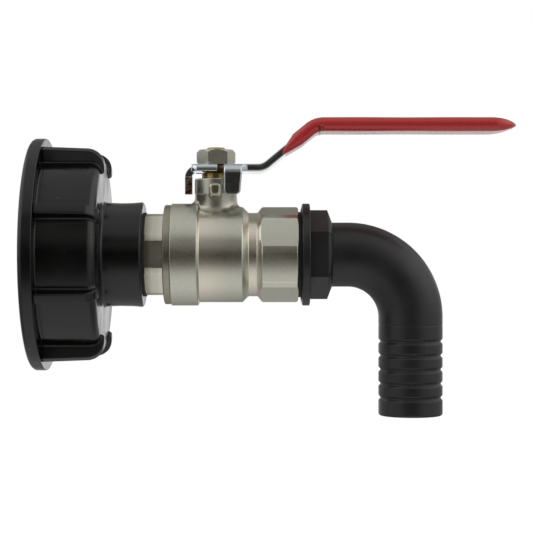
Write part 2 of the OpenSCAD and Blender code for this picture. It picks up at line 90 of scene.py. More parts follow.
def blended(tree, share, first, second):
    """Colour that goes from first to second as share goes from 0 to 1."""
    return shader(tree, "ShaderNodeMix", {0: share, 6: first, 7: second}, out=2, data_type="RGBA")


WHITE = (1, 1, 1, 1)
PLAIN_LEVEL = 0.6
# How bright the room looks by degrees round the X axis: -90 straight down, 0 level towards the
# photographer, 90 straight up, 180 level away. First straight across, then off to either side.
ROOM_AHEAD = ((-180, 1.0), (-171, 1.0), (-164, 0.3), (-147, 0.28), (-137, 0.41), (-127, 0.46), (-117, 0.47),
              (-107, 0.56), (-97, 0.64), (-77, 0.76), (-57, 0.72), (-47, 0.67), (-38, 0.52), (-28, 0.25),
              (-18, 0.09), (-7, 0.04), (3, 0.02), (12, 0.09), (18, 0.24), (28, 0.24), (33, 0.1),
              (39, 0.25), (43, 0.56), (72, 0.66), (92, 0.59), (112, 0.55), (122, 0.45), (132, 0.33),
              (145, 0.24), (164, 0.3), (171, 1.0), (180, 1.0))
ROOM_ASIDE = ((-180, 0.5), (-120, 0.3), (-80, 0.4), (-40, 0.45), (0, 0.5), (22, 0.9), (45, 1.2), (80, 1.3),
              (110, 1.1), (140, 0.7), (180, 0.5))


def room_ramp(tree, turn, stops):
    """Brightness round the room: warm where it is under 0.35, and neutral above that."""
    node = tree.nodes.new("ShaderNodeValToRGB")
    tree.links.new(turn, node.inputs[0])
    while len(node.color_ramp.elements) < len(stops):
        node.color_ramp.elements.new(0.5)
    for element, (degrees, level) in zip(node.color_ramp.elements, stops):
        warm = max(0, 1 - level / 0.35)
        element.position = degrees / 360 + 0.5
        element.color = (level * (1 + 0.15 * warm), level, level * (1 - 0.2 * warm), 1)
    return node.outputs[0]


world = bpy.data.worlds.new("white_room")
bpy.context.scene.world = world
world.use_nodes = True
room = world.node_tree
room.nodes.clear()
ray = room.nodes.new("ShaderNodeLightPath").outputs
way = shader(room, "ShaderNodeTexCoord", out="Generated")
split = room.nodes.new("ShaderNodeSeparateXYZ")
room.links.new(way, split.inputs[0])
east, north, up = split.outputs
turn = sums(room, "ARCTAN2", up, sums(room, "MULTIPLY", north, -1))
turn = sums(room, "ADD", sums(room, "DIVIDE", turn, 2 * np.pi), 0.5)
aside = graded(room, sums(room, "ABSOLUTE", east), 0.4, 0.6)
room_seen = blended(room, aside, room_ramp(room, turn, ROOM_AHEAD), room_ramp(room, turn, ROOM_ASIDE))
lit = blended(room, ray["Is Glossy Ray"], (PLAIN_LEVEL, PLAIN_LEVEL, PLAIN_LEVEL, 1), room_seen)
clear = sums(room, "MAXIMUM", ray["Is Camera Ray"], ray["Is Transmission Ray"])
seen = blended(room, clear, lit, WHITE)
background = shader(room, "ShaderNodeBackground", {"Color": seen, "Strength": 1.0})
room.links.new(background, room.nodes.new("ShaderNodeOutputWorld").inputs["Surface"])

LAMPS = {  # place, width, power in watts
    "overhead_lamp": ((0.05, -0.15, 0.95), 0.9, 2.4),
    "left_lamp": ((-0.85, -0.35, 0.35), 0.6, 0.6),
    "right_lamp": ((1.0, -0.3, 0.3), 0.6, 0.8),
}
for lamp_name, (place, width, power) in LAMPS.items():
    lamp = bpy.data.objects.new(lamp_name, bpy.data.lights.new(lamp_name, "AREA"))
    lamp.data.shape = "DISK"
    lamp.data.size = width
    lamp.data.energy = power
    lamp.visible_glossy = False
    lamp.location = place
    aim = np.array([0.1, 0, 0]) - np.array(place)
    lamp.rotation_euler = (np.arccos(-aim[2] / np.linalg.norm(aim)), 0,
                           np.arctan2(aim[1], aim[0]) - np.pi / 2)
    bpy.context.scene.collection.objects.link(lamp)

FLOOR_Z = -0.15
FLOOR_R = 0.6
angles = np.linspace(0, 2 * np.pi, 96, endpoint=False)
rim = np.stack([0.1 + FLOOR_R * np.cos(angles), FLOOR_R * np.sin(angles), 0 * angles + FLOOR_Z], -1)
floor_mesh = bpy.data.meshes.new("floor")
floor_mesh.from_pydata(rim, [], [np.arange(96)])
floor = bpy.data.objects.new("floor", floor_mesh)
bpy.context.scene.collection.objects.link(floor)
floor.visible_glossy = False
floor_paint = bpy.data.materials.new("floor_paint")
floor_paint.use_nodes = True
paint = floor_paint.node_tree
paint.nodes.clear()
ray = paint.nodes.new("ShaderNodeLightPath").outputs
matt = shader(paint, "ShaderNodeBsdfDiffuse", {"Color": (0.86, 0.86, 0.86, 1)})
lift = shader(paint, "ShaderNodeEmission",
              {"Color": WHITE, "Strength": sums(paint, "MULTIPLY", ray["Is Camera Ray"], 0.55)})
both = shader(paint, "ShaderNodeAddShader", {0: matt, 1: lift})
paint.links.new(both, paint.nodes.new("ShaderNodeOutputMaterial").inputs["Surface"])
floor_mesh.materials.append(floor_paint)


# ---- Screw cap
# Injection-moulded black plastic with a flange, eight grip ribs that hook over its shoulder, and a
# collar for the connector. A coarse thread inside its mouth screws it on the tank's outlet.
MM = 0.001
CAP_AROUND = 320
RIBS = 8
RIB_HALF = 2.0


def rounded(corners, steps=5, hold=0.25):
    """Closed outline with every corner replaced by an arc. corners holds [x, y, radius].

    The arc's centre lies on the corner's bisector at radius / sin(half the angle), and the arc
    turns evenly from one tangent point to the other. A point at most hold beyond either tangent
    point keeps the shading flat. Returns the points and, for each, +1 on an arc that turns with
    the outline, -1 on one that turns against it, and 0 elsewhere.
    """
    corners = np.asarray(corners, float)
    place, radius = corners[:, :2], corners[:, 2:]
    back, ahead = np.roll(place, 1, 0) - place, np.roll(place, -1, 0) - place
    back_len = np.linalg.norm(back, axis=1, keepdims=True)
    ahead_len = np.linalg.norm(ahead, axis=1, keepdims=True)
    back, ahead = back / back_len, ahead / ahead_len
    half = np.arccos(np.clip((back * ahead).sum(1, keepdims=True), -1, 1)) / 2
    cut = radius / np.tan(half)
    bisector = (back + ahead) / np.linalg.norm(back + ahead, axis=1, keepdims=True)
    centre = place + bisector * radius / np.sin(half)
    start, end = (place + back * cut - centre), (place + ahead * cut - centre)
    turn = np.pi - 2 * half
    t = np.linspace(0, 1, steps + 1)[:, None, None]
    arc = centre + (np.sin((1 - t) * turn) * start + np.sin(t * turn) * end) / np.sin(turn)
    spare_back = np.clip((back_len - cut - np.roll(cut, 1, 0)) / 3, 0, hold)
    spare_ahead = np.clip((ahead_len - cut - np.roll(cut, -1, 0)) / 3, 0, hold)
    before = place + back * (cut + spare_back)
    after = place + ahead * (cut + spare_ahead)
    points = np.concatenate([before[None], arc, after[None]]).transpose(1, 0, 2)
    sense = np.sign(back[:, 1] * ahead[:, 0] - back[:, 0] * ahead[:, 1])
    bends = np.broadcast_to(sense[:, None], points.shape[:2]).copy()
    bends[:, [0, -1]] = 0
    return points.reshape(-1, 2), bends.reshape(-1)


def turned_along_x(outline, around, reach=None):
    """Carries an outline of [x, radius] round the X axis: (x, -radius cos a, radius sin a), where
    a is counted from the viewer's side upwards. reach(x, radius, a) may change the radius."""
    x, radius = outline[:, :1], outline[:, 1:]
    if reach is not None:
        radius = reach(x, radius, around)
    flat = 0 * around
    return np.stack([x + flat + 0 * radius, -radius * np.cos(around), radius * np.sin(around)], -1)


def skin(points, loop=True):
    """Corners and four-sided faces of a grid of points, [along, round]. Its columns join up. Its
    rows do too when loop is true, and otherwise each end is drawn together at its middle."""
    if not loop:
        first = np.broadcast_to(points[:1].mean(1, keepdims=True), points[:1].shape)
        last = np.broadcast_to(points[-1:].mean(1, keepdims=True), points[-1:].shape)
        points = np.concatenate([first, points, last])
    rows, columns = points.shape[:2]
    index = np.arange(rows * columns).reshape(rows, columns)
    beside = np.roll(index, -1, 1)
    faces = np.stack([index, beside, np.roll(beside, -1, 0), np.roll(index, -1, 0)], -1)
    return points.reshape(-1, 3), faces[: rows if loop else rows - 1].reshape(-1, 4)


def piece(name, skins, material, body, node, marks=None):
    """One object from several closed skins, riding on body and standing for the solid node.

    Corners that coincide are merged and the faces turned outwards. marks maps an attribute's name
    to one number for each corner of all the skins."""
    starts = np.cumsum([0] + [len(corners) for corners, _ in skins[:-1]])
    mesh = bpy.data.meshes.new(name)
    mesh.from_pydata(np.concatenate([corners for corners, _ in skins]) * MM, [],
                     np.concatenate([faces + start for (_, faces), start in zip(skins, starts)]))
    for mark, values in (marks or {}).items():
        attribute = mesh.attributes.new(mark, "FLOAT", "POINT")
        attribute.data.foreach_set("value", np.concatenate(values).astype(np.float32))
    work = bmesh.new()
    work.from_mesh(mesh)
    bmesh.ops.remove_doubles(work, verts=work.verts, dist=1e-7)
    bmesh.ops.recalc_face_normals(work, faces=work.faces)
    work.to_mesh(mesh)
    work.free()
    mesh.polygons.foreach_set("use_smooth", np.ones(len(mesh.polygons), bool))
    mesh.materials.append(material)
    made = bpy.data.objects.new(name, mesh)
    bpy.context.scene.collection.objects.link(made)
    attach(made, body)
    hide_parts(node)
    return made


def finish_of(name):
    """An empty material: its node tree, its main shader, and where on the object a point lies."""
    material = bpy.data.materials.new(name)
    material.use_nodes = True
    tree = material.node_tree
    surface = tree.nodes["Principled BSDF"]
    return material, tree, surface, shader(tree, "ShaderNodeTexCoord", out="Object")


def grain(tree, place, size, detail=3.0, roughness=0.5, stretch=None):
    """Noise from 0 to 1 whose lumps are size metres across, longer where stretch is over 1."""
    if stretch is not None:
        place = shader(tree, "ShaderNodeMapping",
                       {"Vector": place, "Scale": tuple(1 / s for s in stretch)})
    return shader(tree, "ShaderNodeTexNoise",
                  {"Vector": place, "Scale": 1 / size, "Detail": detail, "Roughness": roughness})


def relief(tree, surface, *layers):
    """Raises the surface by several heights, each (height from 0 to 1, depth in metres)."""
    normal = None
    for height, depth in layers:
        inputs = {"Height": height, "Distance": depth, "Strength": 1.0}
        if normal is not None:
            inputs["Normal"] = normal
        normal = shader(tree, "ShaderNodeBump", inputs)
    tree.links.new(normal, surface.inputs["Normal"])


def moulded_black(name, dark, pale, gloss, dull, specks):
    """Moulded black plastic: slow changes of gloss, fine flow marks, and a few specks of dust."""
    material, tree, surface, place = finish_of(name)
    cloud = grain(tree, place, 0.014, 2)
    fine = grain(tree, place, 0.0007, 4)
    flow = grain(tree, place, 0.0016, 3, 0.6, (6, 1, 1))
    colour = blended(tree, cloud, dark, pale)
    cell = tree.nodes.new("ShaderNodeTexVoronoi")
    cell.inputs["Scale"].default_value = 420
    tree.links.new(place, cell.inputs["Vector"])
    rare = graded(tree, shader(tree, "ShaderNodeSeparateColor", {0: cell.outputs["Color"]}), 0.975, 0.99)
    speck = sums(tree, "MULTIPLY", graded(tree, cell.outputs["Distance"], 0.16, 0.08), rare)
    colour = blended(tree, sums(tree, "MULTIPLY", speck, specks), colour, (0.30, 0.27, 0.22, 1))
    tree.links.new(colour, surface.inputs["Base Color"])
    tree.links.new(graded(tree, sums(tree, "ADD", sums(tree, "MULTIPLY", fine, 0.35), sums(tree, "MULTIPLY", cloud, 0.65)),
                          0.35, 0.65, gloss, dull), surface.inputs["Roughness"])
    relief(tree, surface, (cloud, 0.00012), (flow, 0.000006), (fine, 0.000004))
    return material


cap_plastic = moulded_black("cap_plastic", (0.0018, 0.002, 0.0023, 1), (0.003, 0.0034, 0.0038, 1), 0.14, 0.28, 0.5)

cap_outline, _ = rounded([
    [0, 40, 0.4], [0, 48, 2.0], [5.6, 48, 0.45], [5.6, 41, 0.9], [29.3, 41, 4.0], [29.3, 21.6, 1.3],
    [36, 21.35, 30], [41.5, 21.45, 20], [45.7, 21.85, 1.1], [45.7, 17.45, 0.15], [44.9, 16.65, 0.15],
    [29, 16.65, 0.2], [29, 14, 0.3], [26, 14, 0.4], [26, 37.8, 0.8], [2.2, 37.8, 0.4]])
around = np.linspace(0, 2 * np.pi, CAP_AROUND, endpoint=False)
cap_skins = [skin(turned_along_x(cap_outline, around))]


def rib_skins():
    """Eight ribs, each a cross-section carried from inside the flange over the shoulder.

    At every station the section stands on a base point of the cap's outline and reaches to a point
    of the rib's crest: straight along the skirt, round arcs of 4 and 7.1 mm over the shoulder, and
    down the front face to a tip of 1.4 mm. Its flanks run out tangentially into the skirt, over
    a root radius, and its crest edges are rounded."""
    along = np.linspace(0, 1, 12)[:, None]
    over = np.radians(np.linspace(0, 90, 14))[1:, None]
    tip = np.radians(np.linspace(0, -84, 10))[1:, None]
    base = np.concatenate([
        np.hstack([4.8 + 20.5 * along, 41 + 0 * along]),
        np.hstack([25.3 + 4 * np.sin(over), 37 + 4 * np.cos(over)]),
        np.hstack([29.3 + 0 * tip, 37 - 1.09 * np.sin(-tip)])])
    crest = np.concatenate([
        np.hstack([4.8 + 18.8 * along, 46.53 - 0.73 * along]),
        np.hstack([23.6 + 7.1 * np.sin(over), 38.7 + 7.1 * np.cos(over)]),
        np.hstack([29.3 + 1.4 * np.cos(tip), 37.3 + 1.4 * np.sin(tip)])])
    rise = crest - base
    height = np.linalg.norm(rise, axis=1, keepdims=True)
    rise = rise / height
    root = np.minimum(0.9, 0.45 * height)
    edge = np.minimum(0.45, 0.3 * height)
    quarter = np.radians(np.linspace(0, 90, 7))[None]
    foot_side = RIB_HALF + root - root * np.sin(quarter)
    foot_up = root * (1 - np.cos(quarter)) - 0.03
    edge_side = RIB_HALF - edge * (1 - np.cos(quarter))
    edge_up = height - edge * (1 - np.sin(quarter))
    across = np.hstack([foot_side, edge_side])
    lift = np.hstack([foot_up, edge_up])
    across = np.hstack([across, -across[:, ::-1]])
    lift = np.hstack([lift, lift[:, ::-1]])
    across = np.hstack([across, across[:, -1:] * 0.98, across[:, :1] * 0.98])
    lift = np.hstack([lift, 0 * height - 0.5, 0 * height - 0.5])
    sag = (base[:, 1:] - np.sqrt(base[:, 1:] ** 2 - across ** 2)) * (1 - lift / height) * rise[:, 1:]
    x = base[:, :1] + lift * rise[:, :1]
    radius = base[:, 1:] + lift * rise[:, 1:] - sag
    made = []
    for middle in (np.arange(RIBS) + 0.5) * 2 * np.pi / RIBS:
        y = -radius * np.cos(middle) + across * np.sin(middle)
        z = radius * np.sin(middle) + across * np.cos(middle)
        made.append(skin(np.stack([x, y, z], -1), loop=False))
    return made


def tank_thread():
    """Coarse thread inside the mouth: a rounded trapezoid carried along a helix of 6 mm pitch for
    2.75 turns, whose crest sinks into the wall over the last 30 degrees at both ends."""
    turn = np.linspace(0, 2.75 * 2 * np.pi, 260)[:, None]
    fade = np.clip(np.minimum(turn, turn[-1] - turn) / np.radians(30), 0, 1)
    section, _ = rounded([[-1.9, 38.6, 0.2], [1.9, 38.6, 0.2], [1.0, 35.3, 0.4], [-1.0, 35.3, 0.4]], 3)
    sink = (1 - fade) * 2.4 * (section[:, 1] < 37)
    radius = section[None, :, 1] + sink
    x = 3.4 + 6 * turn / (2 * np.pi) + section[None, :, 0]
    return skin(np.stack([x, radius * np.cos(turn), radius * np.sin(turn)], -1), loop=False)


piece("cap_shell", cap_skins + rib_skins() + [tank_thread()], cap_plastic, "valve", "ibc_cap")

# ---- Rubber rings
# The flat gasket in the cap, the thin ones under the collar and the elbow's flange, and the
# O-rings of the end joint and the stem. Moulded black rubber, matt with a dusty bloom.
rubber, tree, surface, place = finish_of("ring_rubber")
bloom = grain(tree, place, 0.004, 4)
tree.links.new(blended(tree, bloom, (0.010, 0.010, 0.010, 1), (0.024, 0.023, 0.022, 1)), surface.inputs["Base Color"])
tree.links.new(graded(tree, bloom, 0.3, 0.7, 0.55, 0.8), surface.inputs["Roughness"])
relief(tree, surface, (grain(tree, place, 0.0005, 3), 0.00002))
for ring in ("cap_gasket", "collar_gasket", "joint_o_ring", "stem_o_ring", "elbow_gasket"):
    nodes[ring].data.materials.clear()
    nodes[ring].data.materials.append(rubber)


# ---- Valve body and end connector
# Hot-pressed brass, blasted and nickelled: a round inlet end, a ball chamber with the stem's boss
# and stop lug on it, a neck and an octagon for the spanner. The connector screws into its inlet.
def nickelled(name):
    """Blasted brass under nickel. The plating is greenish grey, with a painted warm highlight on convex
    edges (attribute edge above 0) and painted brown shade in the hollows (edge below 0)."""
    material, tree, surface, place = finish_of(name)
    patch = grain(tree, place, 0.009, 3)
    speckle = grain(tree, place, 0.0005, 2, 0.6)
    pit = grain(tree, place, 0.0011, 4, 0.6)
    edge = shader(tree, "ShaderNodeAttribute", out="Fac", attribute_name="edge")
    base = blended(tree, patch, (0.60, 0.595, 0.50, 1), (0.66, 0.655, 0.565, 1))
    base = blended(tree, graded(tree, speckle, 0.35, 0.75, 0, 0.35), base, (0.40, 0.39, 0.32, 1))
    # painted highlight: convex edges (edge above 0) lightened towards a warm pale colour
    base = blended(tree, graded(tree, edge, 0.05, 0.9, 0, 0.75), base, (0.86, 0.79, 0.66, 1))
    # painted shade: hollows (edge below 0) darkened towards brown, more strongly in some patches
    painted_shade = sums(tree, "MULTIPLY", graded(tree, edge, -0.05, -0.8), graded(tree, patch, 0.2, 0.6, 0.65, 1))
    base = blended(tree, sums(tree, "MULTIPLY", painted_shade, 0.62), base, (0.20, 0.17, 0.12, 1))
    tree.links.new(base, surface.inputs["Base Color"])
    surface.inputs["Metallic"].default_value = 1
    tree.links.new(graded(tree, sums(tree, "ADD", sums(tree, "MULTIPLY", pit, 0.6), sums(tree, "MULTIPLY", patch, 0.4)),
                          0.3, 0.7, 0.27, 0.38), surface.inputs["Roughness"])
    relief(tree, surface, (patch, 0.00004), (pit, 0.000022), (speckle, 0.000006))
    return material


nickel = nickelled("nickelled_brass")


def softened(bends, outline, spread=0.5):
    """Spreads the arcs' marks along the outline: each point takes the strongest mark of the
    others, weakened by exp(-(distance / spread) squared)."""
    apart = np.linalg.norm(outline[:, None] - outline[None], axis=-1)
    near = np.exp(-(apart / spread) ** 2) * bends[None]
    return np.take_along_axis(near, np.abs(near).argmax(1)[:, None], 1)[:, 0]


def spanner_flats(middles, across_flats, crown):
    """Radius of a crowned polygon at angle a: across_flats / 2 over cos(a - nearest middle), where
    crown 1 leaves a flat and 0 a round. The rest of the turned shape cuts its corners."""
    def radius_at(a):
        off = np.abs((a[..., None] - middles + np.pi) % (2 * np.pi) - np.pi)
        own = off.argmin(-1)
        off = off.min(-1)
        return across_flats / 2 * (1 + crown[own] * (1 / np.cos(off) - 1))
    return radius_at


def around_flats(middles, half, dense=9):
    """Angles for a polygon with turned corners: even steps, and closer ones where each flat meets
    the turned corner, half an angle from its middle."""
    close = np.radians(np.linspace(-1.2, 1.2, dense))
    edges = (middles[:, None, None] + np.array([-half, half])[None, :, None] + close).ravel()
    even = np.linspace(0, 2 * np.pi, 240, endpoint=False)
    return np.unique(np.round(np.concatenate([edges, even]) % (2 * np.pi), 6))


body_outline, body_bends = rounded([
    [57, 18.65, 0.1], [57, 21.15, 0.5], [68.15, 21.15, 0.75], [68.75, 19.75, 0.6], [86.5, 19.75, 1.1],
    [89.0, 17.3, 1.0], [92.5, 17.3, 0.8], [94.6, 19.75, 1.2], [109.4, 19.75, 0.9], [109.4, 17.3, 0.2],
    [108.7, 16.65, 0.15], [94.8, 16.65, 0.2], [94.8, 11.5, 0.2], [89.2, 11.5, 0.2], [89.2, 14.65, 0.2],
    [85.2, 14.65, 0.2], [85.2, 17.4, 0.2], [64.5, 17.4, 0.2], [64.5, 18.65, 0.2]], 6)
OCTAGON = np.radians(28.7 + 45 * np.arange(8))
CROWNS = np.array([0.75, 1, 1, 1, 1, 1, 1, 0.15])
OCTAGON_ACROSS = 37.4
flat_half = np.arccos(OCTAGON_ACROSS / 2 / 19.75)
octagon = spanner_flats(OCTAGON, OCTAGON_ACROSS + (1 - CROWNS)[None] * 0, CROWNS)


def octagon_end(x, radius, a):
    """The turned outside cut by the octagon: the smaller of both radii beyond the neck's cone."""
    off = np.abs((a[:, None] - OCTAGON + np.pi) % (2 * np.pi) - np.pi)
    own, off = off.argmin(-1), off.min(-1)
    crown = CROWNS[own]
    flat = OCTAGON_ACROSS / 2 / np.cos(off) * crown + 19.75 * (1 - crown)
    outside = (radius > 17) & (x > 93.0)
    return np.where(outside, np.minimum(radius, flat[None]), radius + 0 * flat[None])


body_around = around_flats(OCTAGON, flat_half)
body_points = turned_along_x(body_outline, body_around, octagon_end)
# edge marks: painted highlight on convex rounds of the outline, painted shade in concave ones
body_marks = np.repeat(softened(body_bends, body_outline)[:, None], len(body_around), 1)
facet = np.abs(np.abs((body_around[:, None] - OCTAGON + np.pi) % (2 * np.pi) - np.pi).min(-1) - flat_half)
on_octagon = ((body_outline[:, 0] > 94.5) & (body_outline[:, 1] > 19))[:, None]
# painted highlight along the octagon's ridges
body_marks = np.maximum(body_marks, 0.7 * np.exp(-(facet / 0.015) ** 2)[None] * on_octagon)

STEM_X = 75.4
BOSS_R = 8.85


def body_radius(x):
    """Radius of the turned body under the boss: chamber, blended into the inlet end."""
    step = np.clip((68.9 - x) / 0.8, 0, 1)
    return 19.75 + 1.4 * step * step * (3 - 2 * step)


def boss_skin():
    """Stem boss on the chamber: a ring about the stem whose foot lies on the body.

    Its foot flares as far = R + f - f sin t, up = f (1 - cos t) above the body's surface at that
    place, so it leaves the body tangentially and ends upright. The ring closes down its bore."""
    around = np.linspace(0, 2 * np.pi, 220, endpoint=False)[None]
    flare = np.radians(np.linspace(-8, 90, 16))[:, None]
    fillet = 2.0
    far = BOSS_R + fillet - fillet * np.sin(flare)
    x = STEM_X + far * np.cos(around)
    y = far * np.sin(around)
    foot = np.sqrt(body_radius(x) ** 2 - y ** 2)
    foot_z = foot + fillet * (1 - np.cos(flare)) - 0.02
    walls, bends = rounded([[BOSS_R, 25, 0.1], [BOSS_R, 31.4, 0.45], [6.35, 31.4, 0.15], [5.95, 31.0, 0.1],
                            [5.95, 23.6, 0.1], [4.05, 23.6, 0.1], [4.05, 18, 0.1]], 4)
    walls, bends = walls[walls[:, 1] > 24.5], bends[walls[:, 1] > 24.5]
    rows = np.concatenate([np.stack([x, y, foot_z], -1), np.stack([
        STEM_X + walls[:, :1] * np.cos(around), walls[:, :1] * np.sin(around), walls[:, 1:] + 0 * around], -1)])
    inner = np.array([[5.95, 16.5], [9.5, 16.5]])
    rows = np.concatenate([rows, np.stack([STEM_X + inner[:, :1] * np.cos(around),
                                           inner[:, :1] * np.sin(around), inner[:, 1:] + 0 * around], -1)])
    # painted shade on the foot's fillet (below 0) and painted highlight on the wall's convex rounds (above 0)
    mark = np.concatenate([-0.75 * np.sin(2 * np.clip(flare[:, 0], 0, None)), 0.6 * (bends > 0), [0, 0]])
    return rows, np.repeat(mark[:, None], rows.shape[1], 1)


def lug_skin():
    """Stop lug: rounded-square sections |u|^p + |v|^p = 1 carried out of the boss, shrinking and
    rising a little, with a rounded rim and a sunk face."""
    around = np.linspace(0, 2 * np.pi, 72, endpoint=False)
    power = 2 / 3.6
    u = np.sign(np.cos(around)) * np.abs(np.cos(around)) ** power
    v = np.sign(np.sin(around)) * np.abs(np.sin(around)) ** power
    # out of the stem's axis, half-width, half-height, middle's height, mark (above 0 a painted highlight on the rim,
    # below 0 painted shade at the root and on the sunk face)
    rows = np.array([
        [7.0, 2.9, 3.7, 25.9, 0], [8.0, 2.9, 3.7, 25.9, -0.8], [8.7, 2.72, 3.45, 25.95, -0.8],
        [9.3, 2.6, 3.3, 26.0, -0.3], [9.9, 2.5, 3.15, 26.1, 0], [10.6, 2.42, 2.95, 26.25, 0],
        [11.1, 2.36, 2.75, 26.38, 0.3], [11.45, 2.27, 2.55, 26.46, 1], [11.7, 2.12, 2.38, 26.5, 1],
        [11.83, 1.95, 2.2, 26.52, 1], [11.84, 1.8, 2.05, 26.53, 0.8], [11.72, 1.64, 1.9, 26.54, -0.5],
        [11.6, 1.5, 1.76, 26.55, -1], [11.56, 1.2, 1.4, 26.56, -0.7], [11.55, 0.5, 0.6, 26.56, -0.7]])
    out, wide, high, middle, mark = (rows[:, k:k + 1] for k in range(5))
    points = np.stack([STEM_X + wide * u, -out + 0 * u, middle + high * v], -1)
    return points, np.repeat(np.concatenate([mark[:1], mark, mark[-1:]]), 72, 1)


boss_points, boss_marks = boss_skin()
lug_points, lug_marks = lug_skin()
piece("brass_body", [skin(body_points), skin(boss_points), skin(lug_points, loop=False)], nickel,
      "valve", "valve_body",
      {"edge": [body_marks.ravel(), boss_marks.ravel(), lug_marks.ravel()]})

connector_outline, connector_bends = rounded([
    [30.4, 15.6, 0.2], [31.4, 16.6, 0.3], [46.6, 16.6, 0.1], [46.6, 17.55, 0.35], [54.2, 17.6, 0.2],
    [54.2, 20.6, 0.6], [57.0, 20.6, 0.1], [57.0, 18.6, 0.1], [64.5, 18.6, 0.2], [64.5, 14.65, 0.2],
    [61.6, 14.65, 0.2], [61.6, 11.5, 0.2], [30.4, 11.5, 0.3]], 6)
CONNECTOR_FLATS = np.radians(45 * np.arange(8))
connector_half = np.arccos(16.7 / 17.55)


def connector_octagon(x, radius, a):
    """The turned outside cut by eight flats between the collar and the flange."""
    off = np.abs((a[:, None] - CONNECTOR_FLATS + np.pi) % (2 * np.pi) - np.pi).min(-1)
    outside = (radius > 16.65) & (x > 46.5) & (x < 54.19)
    return np.where(outside, np.minimum(radius, 16.7 / np.cos(off)[None]), radius + 0 * off[None])


connector_around = around_flats(CONNECTOR_FLATS, connector_half)
connector_points = turned_along_x(connector_outline, connector_around, connector_octagon)
# edge marks: painted highlight on convex rounds of the outline, painted shade in concave ones
connector_marks = np.repeat(softened(connector_bends, connector_outline)[:, None], len(connector_around), 1)
piece("brass_connector", [skin(connector_points)], nickel, "valve", "end_connector",
      {"edge": [connector_marks.ravel()]})

# ---- Ball, seats and packing
# The bored ball is chromed and polished. It turns between two white PTFE seats, and the stem is
# packed with PTFE rings. All of them are inside, and show only down the bores.
ball_chrome, tree, surface, place = finish_of("polished_ball")
rub = grain(tree, place, 0.003, 4, 0.6, (1, 1, 6))
tree.links.new(blended(tree, rub, (0.72, 0.73, 0.75, 1), (0.82, 0.83, 0.85, 1)), surface.inputs["Base Color"])
tree.links.new(graded(tree, rub, 0.3, 0.7, 0.06, 0.14), surface.inputs["Roughness"])
surface.inputs["Metallic"].default_value = 1
nodes["ball"].data.materials.clear()
nodes["ball"].data.materials.append(ball_chrome)

waxy_white, tree, surface, place = finish_of("waxy_ptfe")
haze = grain(tree, place, 0.002, 3)
tree.links.new(blended(tree, haze, (0.80, 0.80, 0.78, 1), (0.88, 0.88, 0.86, 1)), surface.inputs["Base Color"])
tree.links.new(graded(tree, haze, 0.3, 0.7, 0.35, 0.5), surface.inputs["Roughness"])
relief(tree, surface, (haze, 0.00001))
for ring in ("inlet_seat", "outlet_seat", "thrust_washer", "packing_ring_lower", "packing_ring_upper"):
    nodes[ring].data.materials.clear()
    nodes[ring].data.materials.append(waxy_white)

# ---- Stem and gland
# Bare brass bar, turned in a lathe: the stem through the lever's hole, and the gland that presses
# its packing. Fine tool marks run round both, and handling has dulled them in patches.
bare_brass, tree, surface, place = finish_of("turned_brass")
tarnish = grain(tree, place, 0.0025, 4, 0.6)
tool = grain(tree, place, 0.00025, 2, 0.5, (40, 40, 1))
tree.links.new(blended(tree, graded(tree, tarnish, 0.35, 0.7), (0.62, 0.47, 0.20, 1), (0.36, 0.25, 0.09, 1)),
               surface.inputs["Base Color"])
tree.links.new(graded(tree, tarnish, 0.3, 0.7, 0.2, 0.36), surface.inputs["Roughness"])
surface.inputs["Metallic"].default_value = 1
relief(tree, surface, (tool, 0.00002), (tarnish, 0.00001))
for ring in ("stem", "gland_nut"):
    nodes[ring].data.materials.clear()
    nodes[ring].data.materials.append(bare_brass)


# ---- Lever
# Flat steel, stamped, bent and chromed. One tab is bent down on the near side and one on the far
# side, and they meet the stop lug at either end of the quarter turn. Sheared edges stay raw.
def chromed_steel():
    """Bright chrome, a little blue, on rolled steel. Attribute sheared is 1 on the cut edges, where
    the plating is thin over coppery streaks that the shears dragged downwards."""
    material, tree, surface, place = finish_of("chromed_steel")
    cloud = grain(tree, place, 0.006, 3)
    rolled = grain(tree, place, 0.0012, 3, 0.6, (5, 1, 1))
    sheared = shader(tree, "ShaderNodeAttribute", out="Fac", attribute_name="sheared")
    drag = grain(tree, place, 0.0016, 4, 0.65, (2, 2, 1))
    plate = blended(tree, cloud, (0.60, 0.65, 0.69, 1), (0.70, 0.745, 0.78, 1))
    torn = blended(tree, graded(tree, drag, 0.42, 0.6), (0.07, 0.05, 0.035, 1), (0.46, 0.28, 0.20, 1))
    tree.links.new(blended(tree, sheared, plate, torn), surface.inputs["Base Color"])
    surface.inputs["Metallic"].default_value = 1
    rough = graded(tree, cloud, 0.3, 0.7, 0.07, 0.15)
    tree.links.new(sums(tree, "ADD", rough, sums(tree, "MULTIPLY", sheared, 0.3)), surface.inputs["Roughness"])
    ridges = sums(tree, "MULTIPLY", drag, sheared)
    relief(tree, surface, (cloud, 0.00010), (rolled, 0.000008), (ridges, 0.0003))
    return material


lever_chrome = chromed_steel()
FLAT_Z = 35.6
HANDLE_Z = 53.4
STEEL = 3.0
SLOPE = np.radians(39.5)
LOWER_R, UPPER_R = 6.0, 9.0
LOWER_X = 95.0
UPPER_X = LOWER_X + (HANDLE_Z - FLAT_Z) / np.tan(SLOPE)
STRAIGHT_X = UPPER_X + UPPER_R * np.tan(SLOPE / 2)


